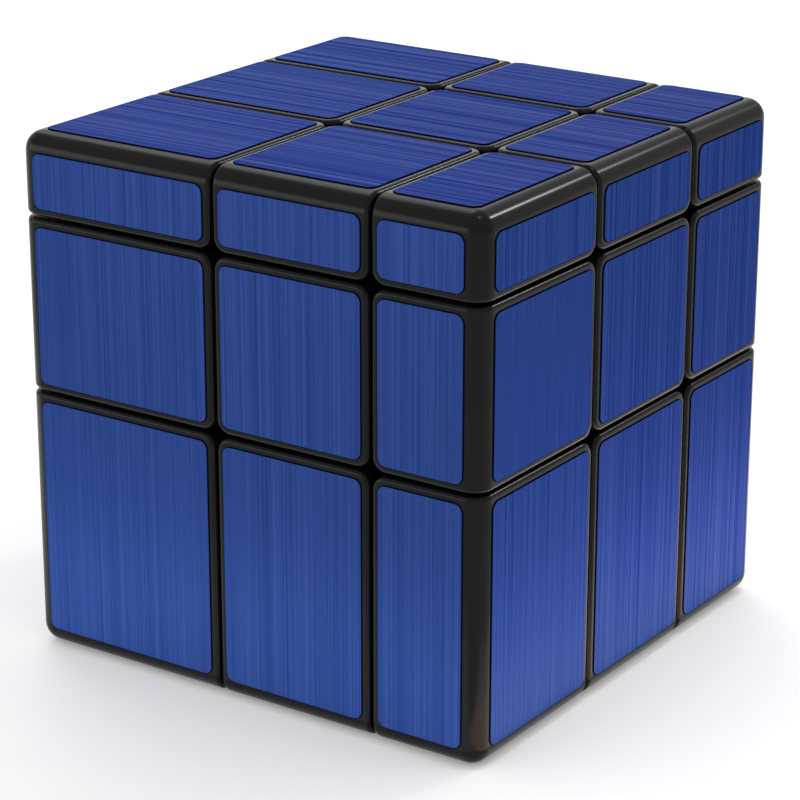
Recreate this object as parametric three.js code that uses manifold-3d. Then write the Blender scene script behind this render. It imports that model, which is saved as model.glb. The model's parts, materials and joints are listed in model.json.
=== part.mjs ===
// Mirror block cube: a 3 x 3 x 3 twisty puzzle whose layers have nine different thicknesses.
// Millimetres, +Z up, front face towards -Y, right face towards +X.
// The origin is the middle of the bottom face. The mechanism's centre is the middle of the
// three middle layers, which is off the middle of the cube.
import * as THREE from 'three';
import { mergeVertices } from 'three/addons/utils/BufferGeometryUtils.js';
import Module from 'manifold-3d';

const wasm = await Module();
wasm.setup();

// ---------- driving dimensions ----------

const SIZE = 57;            // side of the whole cube
const MIDDLE = 19;          // thickness of the middle layer on every axis
const LEFT = 25;            // thickness of the left layer; the right one takes what is left
const FRONT = 21;           // thickness of the front layer; the back one takes what is left
const BOTTOM = 29;          // thickness of the bottom layer; the top one takes what is left

const GAP = 0.3;            // clearance between any two neighbouring pieces
const OUTER_FILLET = 2.3;   // rounding of the cube's own twelve edges
const DEPTH_FILLET = 1.6;   // rounding of the edges that run inwards between two cut faces

// Two balls about the mechanism's centre split it into shells. Every layer is cut at its own level in
// each shell, so a layer's underside is a body of revolution about the axis that it turns on.
const FOOT_BALL = 15.4;     // inside it the pieces have their feet
const NECK_BALL = 18.2;     // between the two balls they have their necks
const FOOT_LEVEL = 5.5;     // where an outer layer begins inside the foot ball
const NECK_LEVEL = 8;       // where it begins between the balls; outside it begins at HALF
const ROOT = 1.3;           // how far a neck or a foot reaches into the next shell outwards
const INSET = 0.05;         // how much narrower it is there than the shell that it joins

const CORE_RADIUS = 7;
const ARM_RADIUS = 3.4;
const ARM_REACH = 9;
const SCREW_HOLE_RADIUS = 1.55;
const SCREW_HOLE_BOTTOM = 2.2;

const SHELF_BOTTOM = 9.3;   // the shelf in a centre body that its spring presses on
const SHELF_TOP = 10.8;
const SHANK_BORE_RADIUS = 1.7;
const POCKET_RADIUS = 3.3;
const BODY_TOP = 16.5;      // where a centre body ends and its cap begins

const SHANK_RADIUS = 1.25;
const SHANK_TIP = 2.6;
const HEAD_RADIUS = 2.75;
const HEAD_BOTTOM = 14.7;
const HEAD_TOP = 16.2;
const RECESS_LENGTH = 2.8;
const RECESS_WIDTH = 0.7;
const RECESS_DEPTH = 0.9;

const WASHER_BOTTOM = 14;
const WASHER_TOP = 14.45;
const WASHER_BORE_RADIUS = 1.6;
const WASHER_RADIUS = 2.9;

const COIL_RADIUS = 2.25;
const WIRE_RADIUS = 0.32;
const COIL_TURNS = 3.5;
const COIL_BOTTOM = 11.35;
const COIL_TOP = 13.45;

const FILLET_STEPS = 3;
const ROUND_STEPS = 24;     // facets round a disc or a ball
const BORE_STEPS = 12;
const SPARE = 0.3;          // how far an outline lies outside the flat faces that it doesn't cut
const FAR = 50;             // beyond every outer face

const HALF = MIDDLE / 2;
const CLEAR = GAP / 2;      // what each of two neighbours keeps back from a flat cut between them
const BALL_CLEAR = GAP;     // and from a ball, which is faceted, so that it can turn
const AXES = ['x', 'y', 'z'];
const SIDES = {
  x: { '-1': 'left', 1: 'right' },
  y: { '-1': 'front', 1: 'back' },
  z: { '-1': 'down', 1: 'up' },
};
// Distance from the mechanism's centre to each outer face.
const REACH = {
  left: HALF + LEFT,
  right: SIZE - HALF - LEFT,
  front: HALF + FRONT,
  back: SIZE - HALF - FRONT,
  down: HALF + BOTTOM,
  up: SIZE - HALF - BOTTOM,
};

// ---------- solids ----------

function solid(geometry) {
  const bare = geometry.clone();
  bare.deleteAttribute('normal');
  bare.deleteAttribute('uv');
  const merged = mergeVertices(bare, 1e-4);
  const vertProperties = new Float32Array(merged.attributes.position.array);
  const triVerts = new Uint32Array(merged.index.array);
  return new wasm.Manifold(new wasm.Mesh({ numProp: 3, vertProperties, triVerts }));
}

function geometryOf(body) {
  const mesh = body.getMesh();
  const geometry = new THREE.BufferGeometry();
  const positions = new Float32Array(mesh.vertProperties);
  geometry.setAttribute('position', new THREE.BufferAttribute(positions, 3));
  geometry.setIndex(new THREE.BufferAttribute(new Uint32Array(mesh.triVerts), 1));
  geometry.computeVertexNormals();
  return geometry;
}

// A box from its lowest to its highest corner.
function block(low, high) {
  const geometry = new THREE.BoxGeometry(high[0] - low[0], high[1] - low[1], high[2] - low[2]);
  geometry.translate((low[0] + high[0]) / 2, (low[1] + high[1]) / 2, (low[2] + high[2]) / 2);
  return solid(geometry);
}

function ball(radius) {
  return solid(new THREE.SphereGeometry(radius, ROUND_STEPS, ROUND_STEPS / 2));
}

// Turns a geometry made along +Z so that it lies along the given axis, on the given side.
function alongAxis(geometry, axis, side = 1) {
  if (axis === 'x') geometry.rotateY((side * Math.PI) / 2);
  if (axis === 'y') geometry.rotateX((-side * Math.PI) / 2);
  if (axis === 'z' && side < 0) geometry.rotateX(Math.PI);
  return geometry;
}

// A round bar on an axis through the mechanism's centre, from one distance to another.
function bar(radius, from, to, axis = 'z', side = 1, steps = BORE_STEPS) {
  const geometry = new THREE.CylinderGeometry(radius, radius, to - from, steps);
  geometry.rotateX(Math.PI / 2);
  geometry.translate(0, 0, (from + to) / 2);
  return solid(alongAxis(geometry, axis, side));
}

// ---------- the outer blocks ----------

// Where a cubie's block starts and ends on one axis, for its place -1, 0 or 1 in that direction.
function span(axis, place) {
  if (place === 0) return [-(HALF - CLEAR), HALF - CLEAR];
  const outer = REACH[SIDES[axis][place]];
  return place > 0 ? [HALF + CLEAR, outer] : [-outer, -(HALF + CLEAR)];
}

// The radius of a block's edge where its faces on two axes meet, given whether each is an outer face.
function edgeRadius(firstOuter, secondOuter) {
  if (firstOuter && secondOuter) return OUTER_FILLET;
  return firstOuter || secondOuter ? 0 : DEPTH_FILLET;
}

// The points that round one corner of an outline, counter-clockwise. inU and inV point into the
// outline. The first and last chord run on past the outline's sides, to SPARE outside them.
function cornerPoints(cornerU, cornerV, radius, inU, inV) {
  if (radius === 0) return [[cornerU - inU * SPARE, cornerV - inV * SPARE]];
  const first = Math.atan2(-inV, -inU) - Math.PI / 4;
  const points = [];
  for (let step = 0; step <= FILLET_STEPS; step += 1) {
    const angle = first + (Math.PI / 2) * (step / FILLET_STEPS);
    const u = cornerU + inU * radius + radius * Math.cos(angle);
    const v = cornerV + inV * radius + radius * Math.sin(angle);
    points.push([u, v]);
  }
  const halfStep = Math.PI / 4 / FILLET_STEPS;
  const runOn = (end, next) => {
    const length = Math.hypot(end[0] - next[0], end[1] - next[1]);
    const share = SPARE / Math.sin(halfStep) / length;
    return [end[0] + (end[0] - next[0]) * share, end[1] + (end[1] - next[1]) * share];
  };
  points[0] = runOn(points[0], points[1]);
  points[FILLET_STEPS] = runOn(points[FILLET_STEPS], points[FILLET_STEPS - 1]);
  return points;
}

// The outline of a block seen along one axis, extruded right through. It rounds the block's corners
// and lies SPARE outside its flat faces.
function outlinePrism(places, through) {
  const [first, second] = AXES.filter((axis) => axis !== through);
  const u = span(first, places[first]);
  const v = span(second, places[second]);
  const shape = new THREE.Shape();
  for (const [endU, endV] of [[-1, -1], [1, -1], [1, 1], [-1, 1]]) {
    const radius = edgeRadius(places[first] === endU, places[second] === endV);
    const corner = cornerPoints(u[endU < 0 ? 0 : 1], v[endV < 0 ? 0 : 1], radius, -endU, -endV);
    for (const [pu, pv] of corner) {
      if (shape.curves.length === 0 && shape.currentPoint.lengthSq() === 0) shape.moveTo(pu, pv);
      else shape.lineTo(pu, pv);
    }
  }
  shape.closePath();
  const geometry = new THREE.ExtrudeGeometry(shape, { depth: 2 * FAR, bevelEnabled: false });
  geometry.translate(0, 0, -FAR);
  // The outline is drawn in (u, v) with the extrusion along the third axis.
  const place = new THREE.Matrix4();
  if (through === 'x') place.set(0, 0, 1, 0, 1, 0, 0, 0, 0, 1, 0, 0, 0, 0, 0, 1);
  if (through === 'y') place.set(1, 0, 0, 0, 0, 0, -1, 0, 0, 1, 0, 0, 0, 0, 0, 1);
  geometry.applyMatrix4(place);
  return solid(geometry);
}

// A cubie's block: its cell in the cut cube, with the cube's own edges and the depth edges rounded.
function outerBlock(places) {
  const cell = AXES.map((axis) => span(axis, places[axis]));
  let body = block(cell.map((s) => s[0]), cell.map((s) => s[1]));
  for (const axis of AXES) body = body.intersect(outlinePrism(places, axis));
  return body;
}

// ---------- the mechanism's shells ----------

// A cubie's room on one axis: beyond start where it is in an outer layer, and within width of the
// middle where it is in the middle layer.
function room(place, start, width) {
  if (place === 0) return [-width, width];
  return place > 0 ? [start, FAR] : [-FAR, -start];
}

function sector(places, start, width) {
  const cell = AXES.map((axis) => room(places[axis], start, width));
  return block(cell.map((s) => s[0]), cell.map((s) => s[1]));
}

// A cubie's inner part: its foot, its neck, and the roots that join them to each other and the block.
function innerPart(places) {
  const foot = sector(places, FOOT_LEVEL + CLEAR, FOOT_LEVEL - CLEAR);
  const neck = sector(places, NECK_LEVEL + CLEAR, NECK_LEVEL - CLEAR);
  const footRoot = sector(places, NECK_LEVEL + CLEAR + INSET, FOOT_LEVEL - CLEAR - INSET);
  const neckRoot = sector(places, HALF + CLEAR + INSET, NECK_LEVEL - CLEAR - INSET);
  return neck
    .intersect(ball(NECK_BALL - BALL_CLEAR))
    .add(neckRoot.intersect(ball(NECK_BALL + ROOT)))
    .subtract(ball(FOOT_BALL + BALL_CLEAR))
    .add(footRoot.intersect(ball(FOOT_BALL + ROOT)))
    .add(foot.intersect(ball(FOOT_BALL - BALL_CLEAR)));
}

// ---------- sub-parts made once and placed many times ----------

function coreGeometry() {
  let body = solid(new THREE.SphereGeometry(CORE_RADIUS, 16, 8));
  for (const axis of AXES) {
    for (const side of [-1, 1]) body = body.add(bar(ARM_RADIUS, 1, ARM_REACH, axis, side));
  }
  for (const axis of AXES) {
    for (const side of [-1, 1]) {
      body = body.subtract(bar(SCREW_HOLE_RADIUS, SCREW_HOLE_BOTTOM, FAR, axis, side));
    }
  }
  return geometryOf(body);
}

// The umbrella-shaped body that turns on a core arm, with its bore, shelf and spring pocket.
function centerBodyGeometry() {
  const wide = NECK_LEVEL - CLEAR;
  const narrow = FOOT_LEVEL - CLEAR;
  const bottom = FOOT_LEVEL + CLEAR;
  const plate = block([-wide, -wide, bottom], [wide, wide, BODY_TOP]).subtract(ball(FOOT_BALL + BALL_CLEAR));
  const stem = block([-narrow, -narrow, bottom], [narrow, narrow, BODY_TOP]);
  const body = plate
    .add(stem)
    .subtract(ball(CORE_RADIUS + GAP))
    .subtract(bar(ARM_RADIUS + GAP, 0, SHELF_BOTTOM))
    .subtract(bar(SHANK_BORE_RADIUS, 0, FAR))
    .subtract(bar(POCKET_RADIUS, SHELF_TOP, FAR));
  return geometryOf(body);
}

// A pan-head screw with a cross recess, standing on its tip.
function screwGeometry() {
  const profile = [
    [0, SHANK_TIP],
    [SHANK_RADIUS * 0.6, SHANK_TIP],
    [SHANK_RADIUS, SHANK_TIP + 0.8],
    [SHANK_RADIUS, HEAD_BOTTOM],
    [HEAD_RADIUS, HEAD_BOTTOM],
    [HEAD_RADIUS, HEAD_TOP - 0.5],
    [HEAD_RADIUS - 0.5, HEAD_TOP],
    [0, HEAD_TOP],
  ].map(([radius, height]) => new THREE.Vector2(radius, height));
  const turned = new THREE.LatheGeometry(profile, BORE_STEPS);
  turned.rotateX(Math.PI / 2);
  let body = solid(turned);
  for (const [u, v] of [[RECESS_LENGTH, RECESS_WIDTH], [RECESS_WIDTH, RECESS_LENGTH]]) {
    const floor = HEAD_TOP - RECESS_DEPTH;
    body = body.subtract(block([-u / 2, -v / 2, floor], [u / 2, v / 2, FAR]));
  }
  return geometryOf(body);
}

function washerGeometry() {
  const profile = [
    [WASHER_BORE_RADIUS, WASHER_BOTTOM],
    [WASHER_RADIUS, WASHER_BOTTOM],
    [WASHER_RADIUS, WASHER_TOP],
    [WASHER_BORE_RADIUS, WASHER_TOP],
    [WASHER_BORE_RADIUS, WASHER_BOTTOM],
  ].map(([radius, height]) => new THREE.Vector2(radius, height));
  const ring = new THREE.LatheGeometry(profile, BORE_STEPS);
  ring.rotateX(Math.PI / 2);
  return geometryOf(solid(ring));
}

class CoilPath extends THREE.Curve {
  getPoint(t, target = new THREE.Vector3()) {
    const angle = t * COIL_TURNS * 2 * Math.PI;
    const height = COIL_BOTTOM + t * (COIL_TOP - COIL_BOTTOM);
    return target.set(COIL_RADIUS * Math.cos(angle), COIL_RADIUS * Math.sin(angle), height);
  }
}

function springGeometry() {
  const section = new THREE.Shape();
  const sides = 5;
  for (let i = 0; i < sides; i += 1) {
    const angle = (2 * Math.PI * i) / sides;
    const method = i === 0 ? 'moveTo' : 'lineTo';
    section[method](WIRE_RADIUS * Math.cos(angle), WIRE_RADIUS * Math.sin(angle));
  }
  section.closePath();
  const wire = new THREE.ExtrudeGeometry(section, {
    steps: Math.round(COIL_TURNS * 8),
    extrudePath: new CoilPath(),
    bevelEnabled: false,
  });
  return geometryOf(solid(wire));
}

// ---------- finishes ----------

function blackPlastic() {
  return new THREE.MeshStandardMaterial({ color: 0x232325, roughness: 0.42, metalness: 0 });
}

function greyPlastic() {
  return new THREE.MeshStandardMaterial({ color: 0x8f9296, roughness: 0.5, metalness: 0 });
}

function steel() {
  return new THREE.MeshStandardMaterial({ color: 0xb9bcc0, roughness: 0.3, metalness: 1 });
}

function part(name, geometry, material) {
  const mesh = new THREE.Mesh(geometry, material);
  mesh.name = name;
  return mesh;
}

// ---------- the assembly ----------

// "front_right" for { x: 1, y: -1, z: 0 }: the sides a cubie shows, up or down first.
function sideNames(places) {
  return ['z', 'y', 'x']
    .filter((axis) => places[axis] !== 0)
    .map((axis) => SIDES[axis][places[axis]])
    .join('_');
}

// All six centres: the body on its core arm, with its screw, washer, spring and cap.
function addCenters(mechanism) {
  const shared = {
    center_body: [centerBodyGeometry(), blackPlastic],
    screw: [screwGeometry(), steel],
    washer: [washerGeometry(), steel],
    spring: [springGeometry(), steel],
  };
  for (const axis of AXES) {
    for (const side of [-1, 1]) {
      const name = SIDES[axis][side];
      const arm = new THREE.Group();
      if (axis === 'x') arm.rotation.y = (side * Math.PI) / 2;
      if (axis === 'y') arm.rotation.x = (-side * Math.PI) / 2;
      if (axis === 'z' && side < 0) arm.rotation.x = Math.PI;
      for (const [kind, [geometry, finish]] of Object.entries(shared)) {
        arm.add(part(`${kind}_${name}`, geometry, finish()));
      }
      mechanism.add(arm);
      const places = { x: 0, y: 0, z: 0, [axis]: side };
      const cap = outerBlock(places).intersect(sector(places, BODY_TOP + GAP, FAR));
      mechanism.add(part(`center_cap_${name}`, geometryOf(cap), blackPlastic()));
    }
  }
}

// An edge or a corner: its block, and in one piece with it the foot that its neighbours hold down.
function addOuterPiece(mechanism, kind, places) {
  const body = outerBlock(places).subtract(ball(NECK_BALL + BALL_CLEAR)).add(innerPart(places));
  mechanism.add(part(`${kind}_${sideNames(places)}`, geometryOf(body), blackPlastic()));
}

const cube = new THREE.Group();
const mechanism = new THREE.Group();
mechanism.position.set(REACH.left - SIZE / 2, REACH.front - SIZE / 2, REACH.down);
cube.add(mechanism);

mechanism.add(part('core', coreGeometry(), greyPlastic()));
addCenters(mechanism);
for (const x of [-1, 0, 1]) {
  for (const y of [-1, 0, 1]) {
    for (const z of [-1, 0, 1]) {
      const shown = Math.abs(x) + Math.abs(y) + Math.abs(z);
      if (shown === 2) addOuterPiece(mechanism, 'edge', { x, y, z });
      if (shown === 3) addOuterPiece(mechanism, 'corner', { x, y, z });
    }
  }
}

export default cube;
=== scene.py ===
"""The looks of the mirror block cube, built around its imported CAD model.

Metres, +Z up, front face towards -Y, right face towards +X, as in the CAD. Every corner, edge and
centre cap is remade with fine roundings in place of its faceted CAD solid, and carries its foil
stickers. The core, the centre bodies, the screws, washers and springs stay as they are and get their
materials.
"""
import json
import math
from itertools import product

import bmesh
import bpy
from mathutils import Matrix, Vector


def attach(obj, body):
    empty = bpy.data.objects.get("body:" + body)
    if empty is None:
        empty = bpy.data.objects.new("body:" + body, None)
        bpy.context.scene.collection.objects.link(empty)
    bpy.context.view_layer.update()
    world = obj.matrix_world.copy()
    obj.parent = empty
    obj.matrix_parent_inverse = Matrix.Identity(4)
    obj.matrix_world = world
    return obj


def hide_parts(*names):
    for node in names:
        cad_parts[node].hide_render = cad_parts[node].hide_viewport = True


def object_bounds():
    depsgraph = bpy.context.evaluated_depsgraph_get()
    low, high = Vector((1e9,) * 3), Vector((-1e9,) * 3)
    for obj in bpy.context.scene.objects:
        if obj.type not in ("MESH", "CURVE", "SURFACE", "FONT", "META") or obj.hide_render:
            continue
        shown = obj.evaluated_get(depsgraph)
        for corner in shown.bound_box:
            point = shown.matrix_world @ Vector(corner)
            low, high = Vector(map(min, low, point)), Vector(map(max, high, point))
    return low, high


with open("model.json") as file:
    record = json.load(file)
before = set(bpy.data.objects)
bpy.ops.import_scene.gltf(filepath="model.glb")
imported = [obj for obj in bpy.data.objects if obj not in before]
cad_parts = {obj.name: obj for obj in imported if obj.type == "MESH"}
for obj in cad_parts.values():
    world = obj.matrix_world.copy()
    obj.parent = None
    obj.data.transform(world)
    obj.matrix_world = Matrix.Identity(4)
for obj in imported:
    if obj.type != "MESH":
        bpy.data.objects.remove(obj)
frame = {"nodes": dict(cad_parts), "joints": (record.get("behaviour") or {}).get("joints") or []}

CAD_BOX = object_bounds()

# ---------- driving sizes, in metres ----------

MM = 0.001
LOW, HIGH = CAD_BOX
SIZE = HIGH.x - LOW.x                        # side of the whole cube
MIDDLE = (LOW + HIGH) / 2
HALF = SIZE / 6                              # half the thickness of a middle layer
CENTER = Vector(frame["joints"][0]["pos_m"])  # where the six turning axes cross

CLEAR = 0.15 * MM            # each block's share of the gap to its neighbour
OUTER_FILLET = 2.1 * MM      # rounding of the cube's own edges
DEPTH_FILLET = 1.6 * MM      # rounding of the edges that run inwards between two cut faces
LIP = 0.5 * MM               # rounding where a cut face meets an outer face
FILLET_STEPS = 8             # flat strips round a fillet
LIP_STEPS = 5                # flat strips round a lip
CAP_BOTTOM = 16.8 * MM       # where a centre cap begins, from the centre
NECK_BALL = 18.45 * MM       # the ball that is hollowed out of the blocks for their neighbours' necks
ROOT_BALL = 18.95 * MM       # the ball that holds the CAD's necks and feet

FOIL = 0.12 * MM             # thickness of a sticker
OUTER_MARGIN = 2.1 * MM      # from the cube's edge to a sticker
CUT_MARGIN = 0.92 * MM       # from the middle of a cut to a sticker
STICKER_CORNER = 1.0 * MM    # radius of a sticker's corners
STICKER_CORNER_STEPS = 6
STICKER_RIM = 0.1 * MM       # width of its dark, bevelled rim

SAME_PLACE = 0.005 * MM      # points nearer than this are one point
STEEP = math.radians(60)     # an edge bent more than this before the lips are made gets a lip
SHARP = math.radians(40)     # an edge bent more than this stays sharp when shaded

CAMERA_AZIMUTH = math.radians(34.371)     # from the front towards the right
CAMERA_ELEVATION = math.radians(19.522)
CAMERA_ROLL = math.radians(0.045)
CAMERA_DISTANCE = 314.67 * MM             # from the cube's middle
CAMERA_LEFT = 0.2685 * MM                 # how far it is moved sideways and down in its own plane
CAMERA_DOWN = 3.2184 * MM
CAMERA_SENSOR = 36                        # millimetres, as Blender has it
CAMERA_LENS = 131.58

SOFT_BOX_DISTANCE = 0.9      # most soft boxes' distance from the cube's middle
REFLECTOR_HEIGHT = 1 * MM    # above the floor
FLOOR_HALF_SIZE = 4
OFF_VERTICAL = 0.0001        # keeps the sides of a vertical light along X and Y

AXES = (0, 1, 2)
SIDE_NAMES = ({-1: "left", 1: "right"}, {-1: "front", 1: "back"}, {-1: "down", 1: "up"})


# ---------- materials ----------

def new_material(name):
    """A node material, with its Principled shader and its node tree."""
    material = bpy.data.materials.new(name)
    material.use_nodes = True
    return material, material.node_tree.nodes["Principled BSDF"], material.node_tree


def add_node(tree, kind, **inputs):
    """A new node with its inputs set: a value, or another node's output socket."""
    node = tree.nodes.new(kind)
    for key, value in inputs.items():
        socket = node.inputs[key.replace("_", " ")]
        if isinstance(value, bpy.types.NodeSocket):
            tree.links.new(value, socket)
        else:
            socket.default_value = value
    return node


def noise(tree, place, scale, detail=2.0, roughness=0.5):
    return add_node(
        tree, "ShaderNodeTexNoise", Vector=place, Scale=scale, Detail=detail, Roughness=roughness
    )


def remap(tree, value, low, high, to_low, to_high):
    """value between low and high, moved to between to_low and to_high."""
    node = tree.nodes.new("ShaderNodeMapRange")
    tree.links.new(value, node.inputs["Value"])
    for key, number in (("From Min", low), ("From Max", high), ("To Min", to_low), ("To Max", to_high)):
        node.inputs[key].default_value = number
    return node.outputs["Result"]


def mix_colors(tree, factor, first, second):
    node = tree.nodes.new("ShaderNodeMix")
    node.data_type = "RGBA"
    tree.links.new(factor, node.inputs["Factor"])
    node.inputs["A"].default_value = (*first, 1)
    node.inputs["B"].default_value = (*second, 1)
    return node.outputs["Result"]


def object_place(tree):
    return tree.nodes.new("ShaderNodeTexCoord").outputs["Object"]


def add_relief(tree, shader, height, strength, distance):
    """Fine relief in the shading, from a height that varies over the surface."""
    bump = add_node(tree, "ShaderNodeBump", Height=height, Strength=strength, Distance=distance)
    tree.links.new(bump.outputs["Normal"], shader.inputs["Normal"])


def brushed_foil(name, scratches_per_metre):
    """Blue anodised foil with long fine scratches along the sticker's own Y."""
    material, shader, tree = new_material(name)
    own = tree.nodes.new("ShaderNodeObjectInfo").outputs["Random"]
    shift = add_node(tree, "ShaderNodeVectorMath")
    shift.operation = "ADD"
    tree.links.new(object_place(tree), shift.inputs[0])
    tree.links.new(own, shift.inputs[1])

    def streaks(per_metre, stretch):
        along = per_metre / stretch
        squeezed = add_node(tree, "ShaderNodeMapping", Vector=shift.outputs["Vector"])
        squeezed.inputs["Scale"].default_value = (per_metre, along, along)
        return noise(tree, squeezed.outputs["Vector"], 1.0, roughness=0.6).outputs["Fac"]

    fine = streaks(scratches_per_metre, 500)
    broad = streaks(900, 90)
    broad_share = 0.05
    both = add_node(tree, "ShaderNodeMath")
    both.operation = "ADD"
    tree.links.new(remap(tree, fine, 0.3, 0.7, 0.0, 1 - broad_share), both.inputs[0])
    tree.links.new(remap(tree, broad, 0.3, 0.7, 0.0, broad_share), both.inputs[1])
    color = mix_colors(tree, both.outputs["Value"], (0.014, 0.036, 0.150), (0.023, 0.056, 0.238))
    tree.links.new(color, shader.inputs["Base Color"])
    tree.links.new(remap(tree, fine, 0.25, 0.75, 0.33, 0.5), shader.inputs["Roughness"])
    add_relief(tree, shader, fine, 0.3, 0.01 * MM)
    tangent = tree.nodes.new("ShaderNodeTangent")
    tangent.direction_type = "UV_MAP"
    tangent.uv_map = "flat"
    tree.links.new(tangent.outputs["Tangent"], shader.inputs["Tangent"])
    shader.inputs["Metallic"].default_value = 1.0
    shader.inputs["Specular Tint"].default_value = (0.04, 0.32, 0.54, 1)
    shader.inputs["Anisotropic"].default_value = 0.5
    clear_film = remap(tree, fine, 0.3, 0.7, 0.02, 0.24)
    tree.links.new(clear_film, shader.inputs["Coat Weight"])
    shader.inputs["Coat Roughness"].default_value = 0.3
    return material


def foil_rim():
    """The sticker's cut edge: near-black and without any reflection, for the dark line round each
    sticker.
    """
    material, shader, tree = new_material("foil_rim")
    grain = noise(tree, object_place(tree), 3000.0, 3.0).outputs["Fac"]
    color = mix_colors(tree, grain, (0.001, 0.0015, 0.010), (0.002, 0.003, 0.018))
    tree.links.new(color, shader.inputs["Base Color"])
    shader.inputs["Roughness"].default_value = 0.6
    shader.inputs["Specular IOR Level"].default_value = 0.0
    return material


def molded_plastic(name, dark, light, roughness, grain_size, grain_height, level=0.4):
    """Moulded plastic: a fine even grain in gloss and relief, and slow changes of tone."""
    material, shader, tree = new_material(name)
    place = object_place(tree)
    slow = noise(tree, place, 90.0, 3.0).outputs["Fac"]
    grain = noise(tree, place, 1 / grain_size, 4.0, 0.65).outputs["Fac"]
    gloss = remap(tree, grain, 0.3, 0.7, 0.95 * roughness, 1.1 * roughness)
    tree.links.new(mix_colors(tree, slow, dark, light), shader.inputs["Base Color"])
    tree.links.new(gloss, shader.inputs["Roughness"])
    add_relief(tree, shader, grain, 0.25, grain_height)
    shader.inputs["Specular IOR Level"].default_value = level
    return material


def turned_steel(name, dark, light, roughness):
    """Plated steel with fine turning marks and slight staining."""
    material, shader, tree = new_material(name)
    place = object_place(tree)
    marks = noise(tree, place, 4000.0, 2.0).outputs["Fac"]
    stains = noise(tree, place, 500.0, 3.0).outputs["Fac"]
    gloss = remap(tree, marks, 0.3, 0.7, roughness - 0.06, roughness + 0.08)
    tree.links.new(mix_colors(tree, stains, dark, light), shader.inputs["Base Color"])
    tree.links.new(gloss, shader.inputs["Roughness"])
    add_relief(tree, shader, marks, 0.2, 0.01 * MM)
    shader.inputs["Metallic"].default_value = 1.0
    return material


# ---------- the blocks ----------

def span(axis, place):
    """Where a block begins and ends on one axis, for its place -1, 0 or 1 in that direction."""
    middle = CENTER[axis]
    if place == 0:
        return middle - HALF + CLEAR, middle + HALF - CLEAR
    if place > 0:
        return middle + HALF + CLEAR, HIGH[axis] - FOIL
    return LOW[axis] + FOIL, middle - HALF - CLEAR


def is_outer(face, places):
    """Whether a flat face of a block is one of the cube's outer faces."""
    return any(places[axis] != 0 and face.normal[axis] * places[axis] > 0.99 for axis in AXES)


def round_edges(mesh, chosen, radius, steps):
    bmesh.ops.bevel(
        mesh,
        geom=[edge for edge in mesh.edges if chosen(edge)],
        offset=radius,
        offset_type="OFFSET",
        segments=steps,
        profile=0.5,
        affect="EDGES",
    )
    mesh.normal_update()


def is_square_edge(edge, places, outer):
    """Whether an edge lies between two flat faces of the box, both outer ones or both cut ones."""
    first, second = edge.link_faces
    if abs(first.normal.dot(second.normal)) > 0.01:
        return False
    if max(map(abs, first.normal)) < 0.999 or max(map(abs, second.normal)) < 0.999:
        return False
    return is_outer(first, places) == outer and is_outer(second, places) == outer


def block_mesh(places):
    """A cubie's block with its cube edges, its depth edges and its lips rounded."""
    low, high = (Vector(corner) for corner in zip(*(span(axis, places[axis]) for axis in AXES)))
    mesh = bmesh.new()
    bmesh.ops.create_cube(mesh, size=1)
    for vertex in mesh.verts:
        vertex.co = Vector(low[a] if vertex.co[a] < 0 else high[a] for a in AXES)
    mesh.normal_update()
    round_edges(mesh, lambda edge: is_square_edge(edge, places, True), OUTER_FILLET, FILLET_STEPS)
    round_edges(mesh, lambda edge: is_square_edge(edge, places, False), DEPTH_FILLET, FILLET_STEPS)
    if sum(map(abs, places)) == 1:
        cut_cap(mesh, places)
    round_edges(mesh, lambda edge: edge.calc_face_angle(0) > STEEP, LIP, LIP_STEPS)
    return mesh


def in_order(mesh):
    """The same mesh with its points and faces in order of place, so that runs hardly differ."""
    points = sorted(mesh.verts, key=lambda vertex: vertex.co[:])
    number = {vertex: i for i, vertex in enumerate(points)}
    faces = []
    for face in mesh.faces:
        corners = [number[vertex] for vertex in face.verts]
        start = corners.index(min(corners))
        faces.append(corners[start:] + corners[:start])
    ordered = bmesh.new()
    made = [ordered.verts.new(vertex.co) for vertex in points]
    for corners in sorted(faces):
        ordered.faces.new([made[i] for i in corners])
    mesh.free()
    ordered.normal_update()
    return ordered


def cut_cap(mesh, places):
    """Cuts a centre's block off flat where its centre body ends."""
    outwards = Vector(places)
    cut = bmesh.ops.bisect_plane(
        mesh,
        geom=mesh.verts[:] + mesh.edges[:] + mesh.faces[:],
        plane_co=CENTER + outwards * CAP_BOTTOM,
        plane_no=outwards,
        clear_inner=True,
    )
    rim = [item for item in cut["geom_cut"] if isinstance(item, bmesh.types.BMEdge)]
    bmesh.ops.contextual_create(mesh, geom=rim)
    mesh.normal_update()


def object_from(mesh, name, *materials):
    data = bpy.data.meshes.new(name)
    mesh.to_mesh(data)
    mesh.free()
    return object_with(data, name, *materials)


def object_with(data, name, *materials):
    made = bpy.data.objects.new(name, data)
    bpy.context.scene.collection.objects.link(made)
    for material in materials:
        data.materials.append(material)
    return made


def ball_object(radius):
    mesh = bmesh.new()
    bmesh.ops.create_uvsphere(mesh, u_segments=64, v_segments=32, radius=radius)
    bmesh.ops.translate(mesh, verts=mesh.verts, vec=CENTER)
    return object_from(mesh, "ball")


def boolean(first, second, operation):
    """first joined with, cut by or kept within second; first takes the new mesh."""
    modifier = first.modifiers.new("boolean", "BOOLEAN")
    modifier.object = second
    modifier.operation = operation
    modifier.solver = "EXACT"
    bpy.context.view_layer.update()
    graph = bpy.context.evaluated_depsgraph_get()
    result = bpy.data.meshes.new_from_object(first.evaluated_get(graph))
    first.modifiers.clear()
    old, first.data = first.data, result
    bpy.data.meshes.remove(old)


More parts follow.
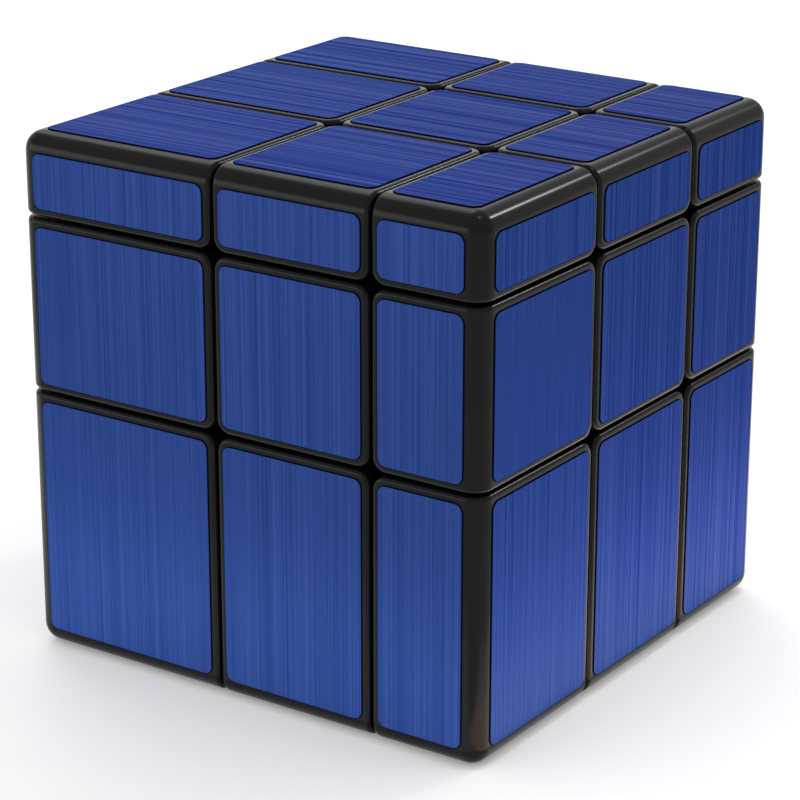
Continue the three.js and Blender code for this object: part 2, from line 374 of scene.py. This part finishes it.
def clean(piece):
    """Merges points that a boolean left almost together, and removes the slivers between them."""
    mesh = bmesh.new()
    mesh.from_mesh(piece.data)
    mesh = in_order(mesh)
    bmesh.ops.remove_doubles(mesh, verts=mesh.verts, dist=SAME_PLACE)
    bmesh.ops.dissolve_degenerate(mesh, edges=mesh.edges, dist=SAME_PLACE)
    bmesh.ops.triangulate(mesh, faces=mesh.faces, quad_method="BEAUTY", ngon_method="BEAUTY")
    bmesh.ops.dissolve_degenerate(mesh, edges=mesh.edges, dist=SAME_PLACE)
    mesh.to_mesh(piece.data)
    mesh.free()


def smooth(piece):
    """Smooth shading that keeps flat faces flat and real corners sharp."""
    piece.data.shade_smooth()
    piece.data.set_sharp_from_angle(angle=SHARP)
    modifier = piece.modifiers.new("weighted normals", "WEIGHTED_NORMAL")
    modifier.keep_sharp = True
    modifier.weight = 100


def cubie_name(places):
    """The sides that a cubie shows, up or down first: up_front_right for (1, -1, 1)."""
    return "_".join(SIDE_NAMES[axis][places[axis]] for axis in reversed(AXES) if places[axis])


def make_cubie(places, balls, plastic, foils, rim):
    """One corner, edge or centre cap with its stickers, in place of its CAD solid."""
    kind = {1: "center_cap", 2: "edge", 3: "corner"}[sum(map(abs, places))]
    node = f"{kind}_{cubie_name(places)}"
    body = node.replace("center_cap", "center")
    piece = object_from(in_order(block_mesh(places)), f"block_{cubie_name(places)}")
    if kind != "center_cap":
        hollow, inner_room = balls
        foot = object_with(frame["nodes"][node].data.copy(), "foot")
        boolean(foot, inner_room, "INTERSECT")
        boolean(piece, hollow, "DIFFERENCE")
        boolean(piece, foot, "UNION")
        bpy.data.objects.remove(foot)
        clean(piece)
    piece.data.materials.clear()
    piece.data.materials.append(plastic)
    smooth(piece)
    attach(piece, body)
    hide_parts(node)
    for axis in AXES:
        if places[axis]:
            sticker = make_sticker(places, axis, foils[axis], rim)
            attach(sticker, body)


# ---------- the stickers ----------

def rounded_rectangle(low, high, radius, steps):
    """Points round a rectangle with round corners, counter-clockwise."""
    corners = ((high[0], high[1]), (low[0], high[1]), (low[0], low[1]), (high[0], low[1]))
    points = []
    for turn, (u, v) in enumerate(corners):
        center_u = u + (radius if u == low[0] else -radius)
        center_v = v + (radius if v == low[1] else -radius)
        for step in range(steps + 1):
            angle = math.radians(90) * (turn + step / steps)
            points.append((center_u + radius * math.cos(angle), center_v + radius * math.sin(angle)))
    return points


def sticker_span(axis, place):
    """Where a sticker begins and ends on one axis of its face."""
    middle = CENTER[axis]
    if place == 0:
        return middle - HALF + CUT_MARGIN, middle + HALF - CUT_MARGIN
    if place > 0:
        return middle + HALF + CUT_MARGIN, HIGH[axis] - OUTER_MARGIN
    return LOW[axis] + OUTER_MARGIN, middle - HALF - CUT_MARGIN


def lay_flat_uvs(mesh):
    """Texture coordinates that follow the sticker's own X and Y, for the direction of the brushing."""
    layer = mesh.loops.layers.uv.new("flat")
    for face in mesh.faces:
        for loop in face.loops:
            loop[layer].uv = loop.vert.co.xy / SIZE


def make_sticker(places, axis, foil, rim):
    """The sticker on one outer face: a flat sheet whose rim slopes down to the plastic.

    Its own X and Y lie in the face, with Y along the brushing, and its own Z points outwards.
    """
    outwards = Vector([places[axis] if a == axis else 0 for a in AXES])
    brushing = Vector((1, 0, 0)) if axis == 2 else Vector((0, 0, 1))
    across = brushing.cross(outwards)
    turn = Matrix((across, brushing, outwards)).transposed()
    outer = HIGH[axis] if places[axis] > 0 else LOW[axis]
    ends = [sticker_span(a, places[a]) if a != axis else (outer, outer) for a in AXES]
    middle = Vector((low + high) / 2 for low, high in ends)
    extent = Vector(high - low for low, high in ends)
    half_u = abs(across.dot(extent)) / 2
    half_v = abs(brushing.dot(extent)) / 2

    def outline(inset):
        corner = (half_u - inset, half_v - inset)
        opposite = (inset - half_u, inset - half_v)
        return rounded_rectangle(opposite, corner, STICKER_CORNER - inset, STICKER_CORNER_STEPS)

    mesh = bmesh.new()
    levels = ((0, -1.5 * FOIL), (0, -0.6 * FOIL), (STICKER_RIM, 0))    # insets and heights
    rings = [[mesh.verts.new((u, v, height)) for u, v in outline(inset)] for inset, height in levels]
    count = len(rings[0])
    for lower, upper in zip(rings, rings[1:]):
        for i in range(count):
            face = mesh.faces.new((lower[i], lower[(i + 1) % count], upper[(i + 1) % count], upper[i]))
            face.material_index = 1
    mesh.faces.new(rings[-1])
    mesh.faces.new(reversed(rings[0])).material_index = 1
    lay_flat_uvs(mesh)
    side = SIDE_NAMES[axis][places[axis]]
    piece = object_from(mesh, f"sticker_{side}_of_{cubie_name(places)}", foil, rim)
    piece.matrix_world = Matrix.Translation(middle) @ turn.to_4x4()
    return piece


# ---------- what stays from the CAD ----------

def finish_inner_parts(plastic):
    """The materials of the core, the centre bodies, the screws, the washers and the springs."""
    grey = molded_plastic(
        "core_plastic",
        dark=(0.2, 0.21, 0.22),
        light=(0.3, 0.31, 0.32),
        roughness=0.5,
        grain_size=0.25 * MM,
        grain_height=0.01 * MM,
    )
    plated = turned_steel("plated_steel", (0.5, 0.51, 0.53), (0.64, 0.65, 0.67), 0.3)
    wire = turned_steel("spring_steel", (0.3, 0.31, 0.33), (0.45, 0.46, 0.48), 0.24)
    finishes = {"core": grey, "screw": plated, "washer": plated, "spring": wire, "center": plastic}
    for name, node in frame["nodes"].items():
        kind = name.split("_")[0]
        if kind in finishes and not node.hide_render:
            node.data.materials.clear()
            node.data.materials.append(finishes[kind])


# ---------- the studio ----------

def add_camera():
    """The camera looks down at the cube's front right corner."""
    level = math.cos(CAMERA_ELEVATION)
    backwards = Vector((
        math.sin(CAMERA_AZIMUTH) * level,
        -math.cos(CAMERA_AZIMUTH) * level,
        math.sin(CAMERA_ELEVATION),
    ))
    sideways = Vector((math.cos(CAMERA_AZIMUTH), math.sin(CAMERA_AZIMUTH), 0))
    upwards = backwards.cross(sideways)
    place = MIDDLE + backwards * CAMERA_DISTANCE - sideways * CAMERA_LEFT - upwards * CAMERA_DOWN
    turn = Matrix((sideways, upwards, backwards)).transposed().to_4x4()
    data = bpy.data.cameras.new("camera")
    data.sensor_width = CAMERA_SENSOR
    data.lens = CAMERA_LENS
    data.clip_start = 0.01
    camera = bpy.data.objects.new("camera", data)
    bpy.context.scene.collection.objects.link(camera)
    camera.matrix_world = Matrix.Translation(place) @ turn @ Matrix.Rotation(CAMERA_ROLL, 4, "Z")
    bpy.context.scene.camera = camera


def add_area_light(name, place, target, size, radiance, color=(1, 1, 1), spread=180):
    """A rectangular light at a place, facing a target, that the camera doesn't see."""
    data = bpy.data.lights.new(name, "AREA")
    data.shape = "RECTANGLE"
    data.size, data.size_y = size
    data.energy = radiance * math.pi * size[0] * size[1]
    data.color = color
    data.spread = math.radians(spread)
    light = bpy.data.objects.new(name, data)
    bpy.context.scene.collection.objects.link(light)
    light.location = place
    light.rotation_euler = (target - place).to_track_quat("-Z", "Y").to_euler()
    light.visible_camera = False


def add_soft_box(name, direction, distance, size, radiance):
    """A light that faces the middle of the cube from one direction."""
    add_area_light(name, MIDDLE + Vector(direction).normalized() * distance, MIDDLE, size, radiance)


def add_reflector(name, place, size, radiance, color=(1, 1, 1)):
    """A panel that lies beside the cube and throws light up at it."""
    place = Vector((*place, REFLECTOR_HEIGHT))
    add_area_light(name, place, place + Vector((0, OFF_VERTICAL, 1)), size, radiance, color)


def white_paper():
    material, shader, tree = new_material("white_paper")
    fibers = noise(tree, object_place(tree), 400.0, 3.0).outputs["Fac"]
    color = mix_colors(tree, fibers, (0.95, 0.95, 0.95), (0.97, 0.97, 0.97))
    tree.links.new(color, shader.inputs["Base Color"])
    shader.inputs["Roughness"].default_value = 0.9
    shader.inputs["Specular IOR Level"].default_value = 0.1
    shader.inputs["Emission Color"].default_value = (1, 1, 1, 1)
    shader.inputs["Emission Strength"].default_value = 0.16
    return material


def add_floor():
    mesh = bmesh.new()
    bmesh.ops.create_grid(mesh, x_segments=1, y_segments=1, size=FLOOR_HALF_SIZE)
    object_from(mesh, "floor", white_paper())


def add_world():
    world = bpy.data.worlds.new("studio")
    world.use_nodes = True
    background = world.node_tree.nodes["Background"]
    background.inputs["Color"].default_value = (1, 1, 1, 1)
    background.inputs["Strength"].default_value = 0.8
    bpy.context.scene.world = world


def add_lights():
    """A low wide key from the front left, glows from behind for the top, a small bright light for the
    cube's right top edge, and panels on the floor that shine up the front and the right side."""
    add_soft_box("key", (-0.8, -1, 0.2), SOFT_BOX_DISTANCE, (1, 0.3), 2.7)
    add_soft_box("back_glow", (-0.53, 0.78, 0.334), SOFT_BOX_DISTANCE, (0.7, 0.35), 0.75)
    add_soft_box("back_left", (-0.53, 0.385, 0.75), SOFT_BOX_DISTANCE, (0.4, 0.4), 2.0)
    add_soft_box("rim", (0.3, 0.76, 0.57), 0.8, (0.06, 0.06), 60)
    add_reflector("right_near", (0.036, 0.02), (0.012, 0.11), 2.8, (1, 0.68, 0.48))
    add_reflector("right_middle", (0.048, 0.03), (0.012, 0.13), 1.3)
    add_reflector("front", (-0.035, -0.045), (0.13, 0.03), 0.8)
    above_right = Vector((0.085, 0.03, 0.35))
    below = above_right - Vector((0, OFF_VERTICAL, 1))
    add_area_light("floor_spot", above_right, below, (0.05, 0.16), 0.6, spread=34)


# ---------- the whole scene ----------

bpy.context.scene.view_settings.view_transform = "Standard"
add_camera()
add_world()
add_floor()
add_lights()
black = molded_plastic(
    "black_plastic",
    dark=(0.0038, 0.0037, 0.0036),
    light=(0.0055, 0.0053, 0.005),
    roughness=0.19,
    grain_size=0.12 * MM,
    grain_height=0.0006 * MM,
    level=0.12,
)
upright_foil = brushed_foil("blue_foil_brushed_upright", 5500)
level_foil = brushed_foil("blue_foil_brushed_level", 2000)
foils_by_axis = (upright_foil, upright_foil, level_foil)    # for the faces across X, Y and Z
dark_rim = foil_rim()
shared_balls = (ball_object(NECK_BALL), ball_object(ROOT_BALL))
for cubie_places in product((-1, 0, 1), repeat=3):
    if any(cubie_places):
        make_cubie(cubie_places, shared_balls, black, foils_by_axis, dark_rim)
for shared_ball in shared_balls:
    bpy.data.objects.remove(shared_ball)
finish_inner_parts(black)
